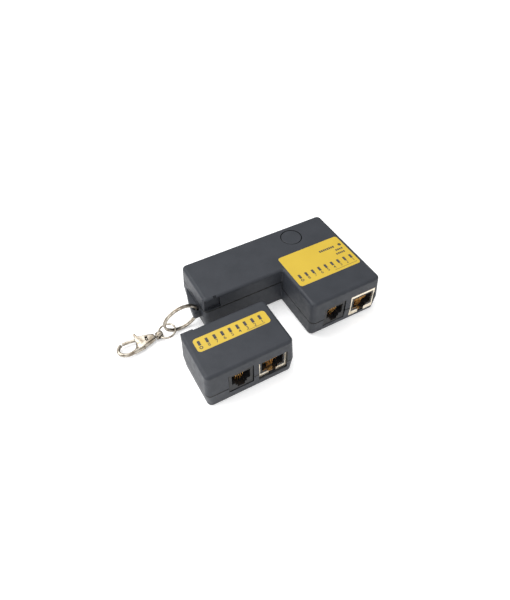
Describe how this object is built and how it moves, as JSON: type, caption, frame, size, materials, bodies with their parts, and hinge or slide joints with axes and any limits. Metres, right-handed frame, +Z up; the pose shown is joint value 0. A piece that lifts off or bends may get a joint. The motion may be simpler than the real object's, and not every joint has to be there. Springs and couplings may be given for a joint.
{
  "type": "network cable tester",
  "caption": "Pocket cable tester: L-shaped main unit with sockets, lamp row and power button, a remote unit that docks in its notch, and a key chain with a swivel snap hook.",
  "frame": {"origin": "centre of the main unit's block, on its underside", "axes": "+Z up; +X along the arm from the key ring's ear to the block; the sockets face -Y"},
  "size_m": [0.1414, 0.0761, 0.025],
  "materials": {
    "shell": "fine matt texture",
    "button": "fine matt texture",
    "label": "printed polyester film, satin",
    "shield": "nickel-plated sheet",
    "moulding": "black moulding",
    "contact": "gilt wire",
    "lamp": "smoked lens",
    "board": "green solder mask",
    "chip_part": "ceramic",
    "steel": "nickel plated",
    "screw": "zinc plated",
    "battery": "printed steel jacket",
    "terminal": "plated",
    "snap": "vinyl",
    "foam": "closed-cell foam"
  },
  "bodies": {
    "tester": {"main_top_shell": "shell", "main_bottom_shell": "shell", "battery_cover": "shell", "main_screws": "screw", "cover_screw": "screw", "battery_9v": "battery", "battery_terminals": "terminal", "battery_snap": "snap", "battery_leads": "snap", "battery_pad": "foam", "main_pcb": "board", "main_rj45_shield": "shield", "main_rj45_insert": "moulding", "main_rj45_contacts": "contact", "main_rj11_housing": "moulding", "main_rj11_contacts": "contact", "main_leds": "lamp", "power_led": "lamp", "main_label": "label", "switch_body": "moulding", "main_chip": "moulding", "main_resistors": "chip_part"},
    "button": {"power_button": "button", "switch_plunger": "snap"},
    "remote": {"remote_top_shell": "shell", "remote_bottom_shell": "shell", "remote_pcb": "board", "remote_rj45_shield": "shield", "remote_rj45_insert": "moulding", "remote_rj45_contacts": "contact", "remote_rj11_housing": "moulding", "remote_rj11_contacts": "contact", "remote_leds": "lamp", "remote_label": "label", "remote_resistors": "chip_part", "remote_screws": "screw"},
    "ring": {"split_ring": "steel"},
    "link": {"link_ring": "steel"},
    "swivel": {"swivel_eye": "steel"},
    "hook": {"hook_body": "steel", "gate_pin": "steel", "gate_spring": "steel"},
    "gate": {"hook_gate": "steel"}
  },
  "joints": [
    {"name": "power_button_press", "type": "slide", "parent": "tester", "child": "button", "axis": [0, 0, -1], "range_m": [0, 0.0005], "stiffness_N_per_m": 900, "springref_m": -0.0008},
    {"name": "remote_dock", "type": "slide", "parent": "tester", "child": "remote", "axis": [0.8219, 0.5697, 0], "range_m": [0, 0.023]},
    {"name": "split_ring_swing", "type": "hinge", "parent": "tester", "child": "ring", "pos_m": [-0.07125, 0.00759, 0.0104], "axis": [0, 0, 1], "range_deg": [-60, 30]},
    {"name": "link_ring_swing", "type": "hinge", "parent": "ring", "child": "link", "pos_m": [-0.08513, 0.00885, 0.0035], "axis": [0, 1, 0], "range_deg": [0, 28]},
    {"name": "swivel_swing", "type": "hinge", "parent": "link", "child": "swivel", "pos_m": [-0.09445, 0.00885, 0.00225], "axis": [0, 1, 0], "range_deg": [0, 38]},
    {"name": "hook_swivel", "type": "hinge", "parent": "swivel", "child": "hook", "pos_m": [-0.09725, 0.00885, 0.00225], "axis": [-1, 0, 0], "continuous": true},
    {"name": "gate_open", "type": "hinge", "parent": "hook", "child": "gate", "pos_m": [-0.10555, 0.01095, 0.00225], "axis": [0, 0, 1], "range_deg": [0, 24], "stiffness_Nm_per_rad": 0.004, "springref_deg": -17.19}
  ]
}
